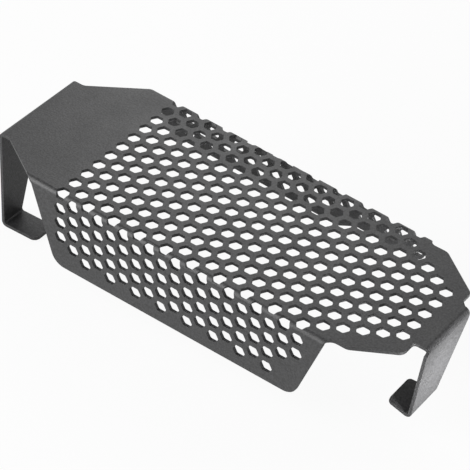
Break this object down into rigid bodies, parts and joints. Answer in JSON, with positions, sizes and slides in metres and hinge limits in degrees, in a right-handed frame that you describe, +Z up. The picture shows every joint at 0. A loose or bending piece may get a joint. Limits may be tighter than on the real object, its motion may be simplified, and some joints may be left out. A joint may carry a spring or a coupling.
{
  "type": "motorcycle radiator guard",
  "caption": "One-piece perforated sheet guard for a motorcycle radiator, its front and back edges folded down into walls and each end folded into a hooked leg.",
  "frame": {"origin": "on the underside of the main face, on the web between two holes at the middle of the honeycomb", "axes": "X along the guard, +Y toward the shallow back wall, -Y toward the deep front wall, +Z up out of the main face"},
  "size_m": [0.2752, 0.108, 0.0674],
  "materials": {
    "powder_coat": "satin"
  },
  "bodies": {
    "root": {"radiator_guard": "powder_coat"}
  },
  "joints": []
}
